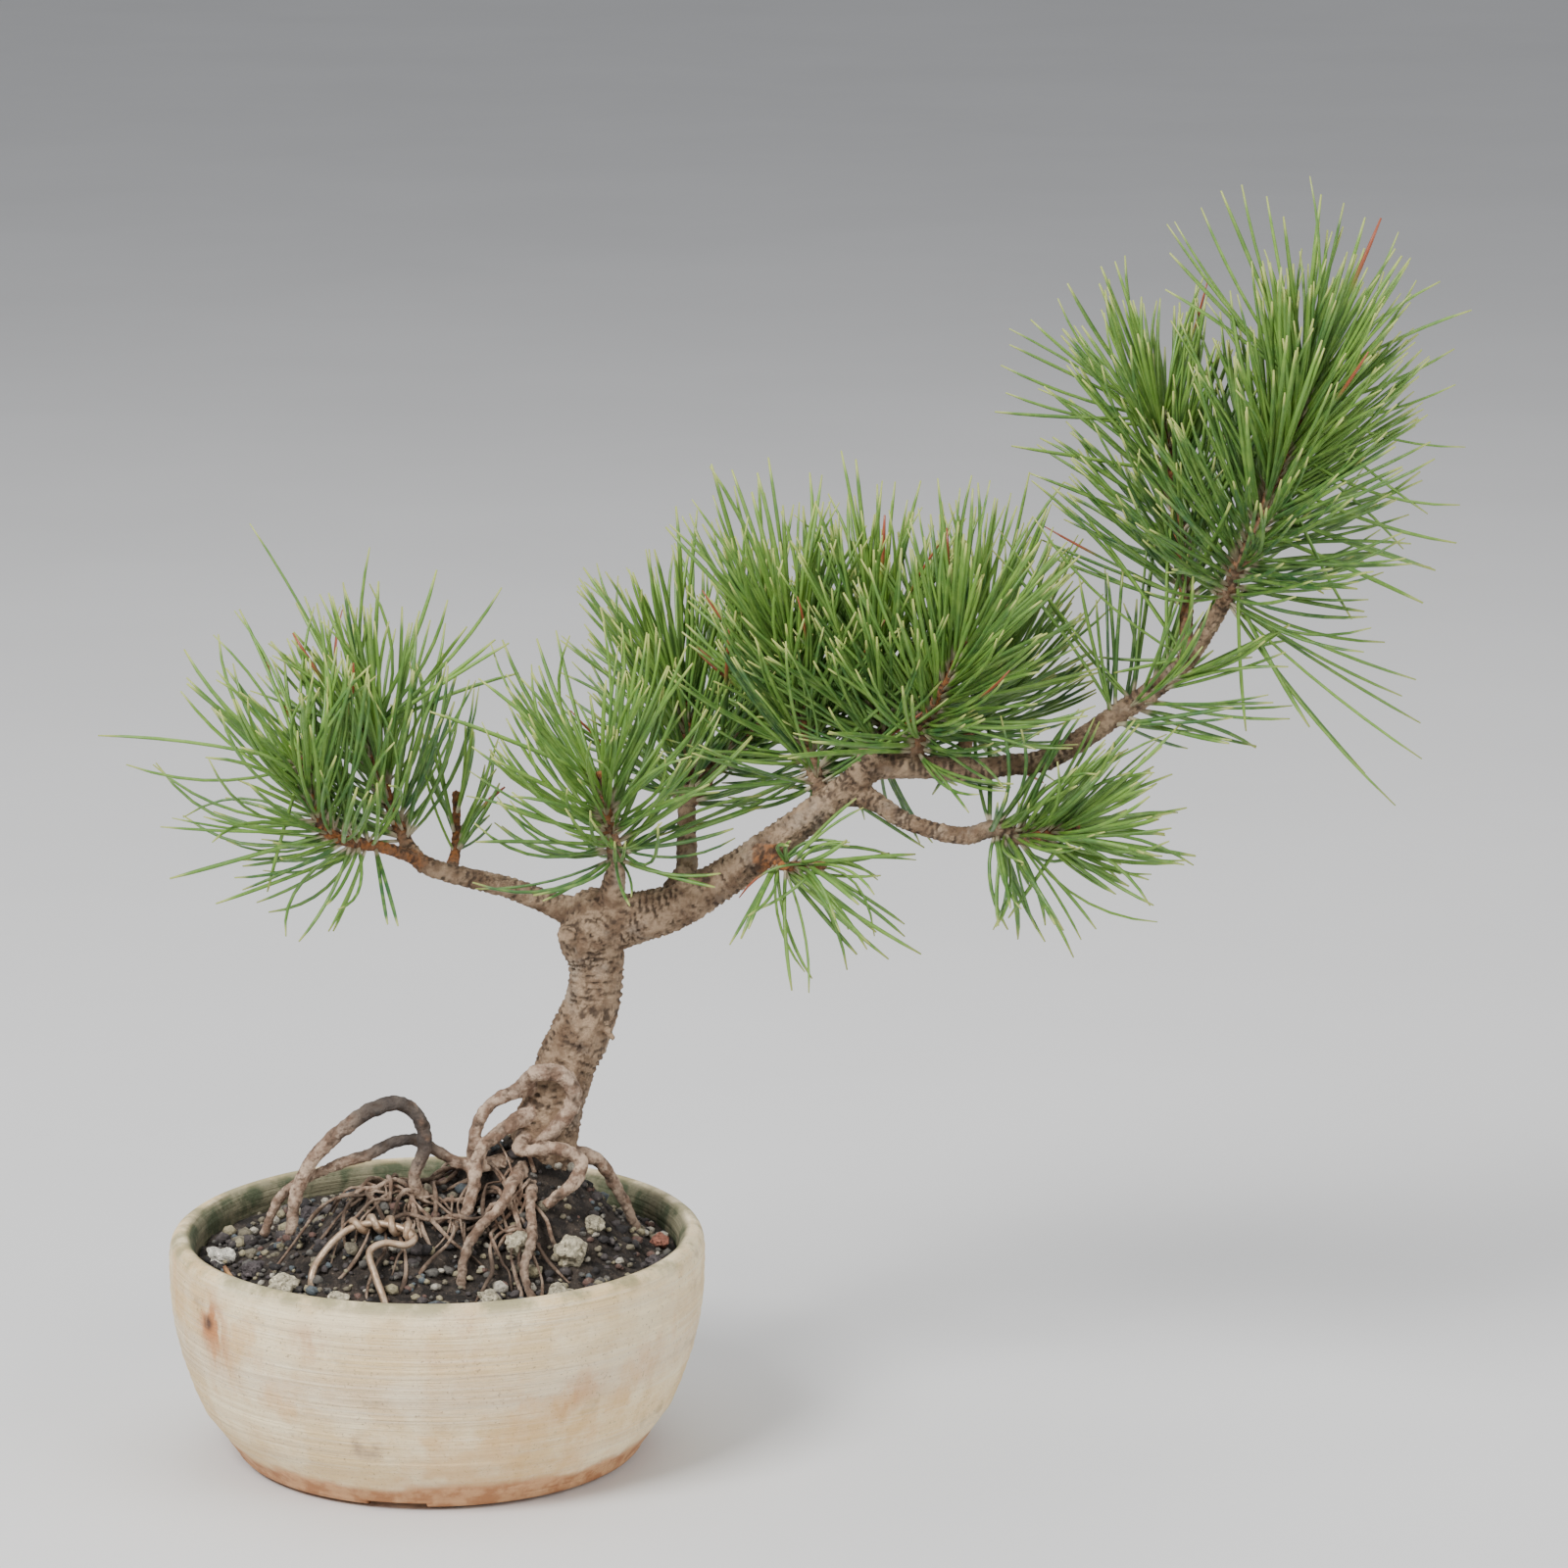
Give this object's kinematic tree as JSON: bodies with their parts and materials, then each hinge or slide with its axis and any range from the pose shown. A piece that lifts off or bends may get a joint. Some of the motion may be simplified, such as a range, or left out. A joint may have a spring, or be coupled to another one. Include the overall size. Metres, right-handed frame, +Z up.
{
  "type": "bonsai tree in a pot",
  "caption": "Small windswept pine bonsai with bare surface roots and brushy needle shoots, in a round shallow stoneware pot with notched foot",
  "frame": {"origin": "centre of the pot on the surface it stands on; the stated mount lies 2.5 mm above it, on the pot's recessed underside", "axes": "+Z up; +X along the long leaning branch, to the right as seen from the front; +Y to the rear"},
  "size_m": [0.3733, 0.1538, 0.3611],
  "materials": {
    "clay": "dry cream slip over orange-brown clay, stained",
    "earth": "moist dark earth with grit",
    "bark": "scaly grey-tan bark",
    "wire": "dull copper-coloured",
    "drain_mesh": "plain",
    "needles": "waxy green",
    "dry_needle": "dry",
    "pumice": "rough porous",
    "lava_grit": "rough porous"
  },
  "bodies": {
    "root": {"drain_mesh_1": "drain_mesh", "drain_mesh_2": "drain_mesh", "fallen_needle_brown": "dry_needle", "fallen_needle_green": "needles", "grit_rear_right": "lava_grit", "grit_red": "lava_grit", "lava_front": "lava_grit", "lava_front_right": "lava_grit", "lava_left": "lava_grit", "lava_rear": "lava_grit", "lava_rear_left": "lava_grit", "lava_right": "lava_grit", "needles_leader": "needles", "needles_left_shoot": "needles", "needles_left_twig": "needles", "needles_low_left": "needles", "needles_low_right": "needles", "needles_pad_left": "needles", "needles_pad_middle": "needles", "needles_pad_rear": "needles", "needles_pad_right": "needles", "needles_rear_branch": "needles", "needles_rear_twig": "needles", "needles_second_leader": "needles", "needles_under_twig": "needles", "needles_upright": "needles", "pot": "clay", "pumice_front": "pumice", "pumice_front_left": "pumice", "pumice_large": "pumice", "pumice_left_oval": "pumice", "pumice_middle": "pumice", "pumice_right": "pumice", "pumice_small": "pumice", "pumice_white": "pumice", "soil": "earth", "tie_wire": "wire", "trunk_and_branches": "bark"}
  },
  "joints": []
}
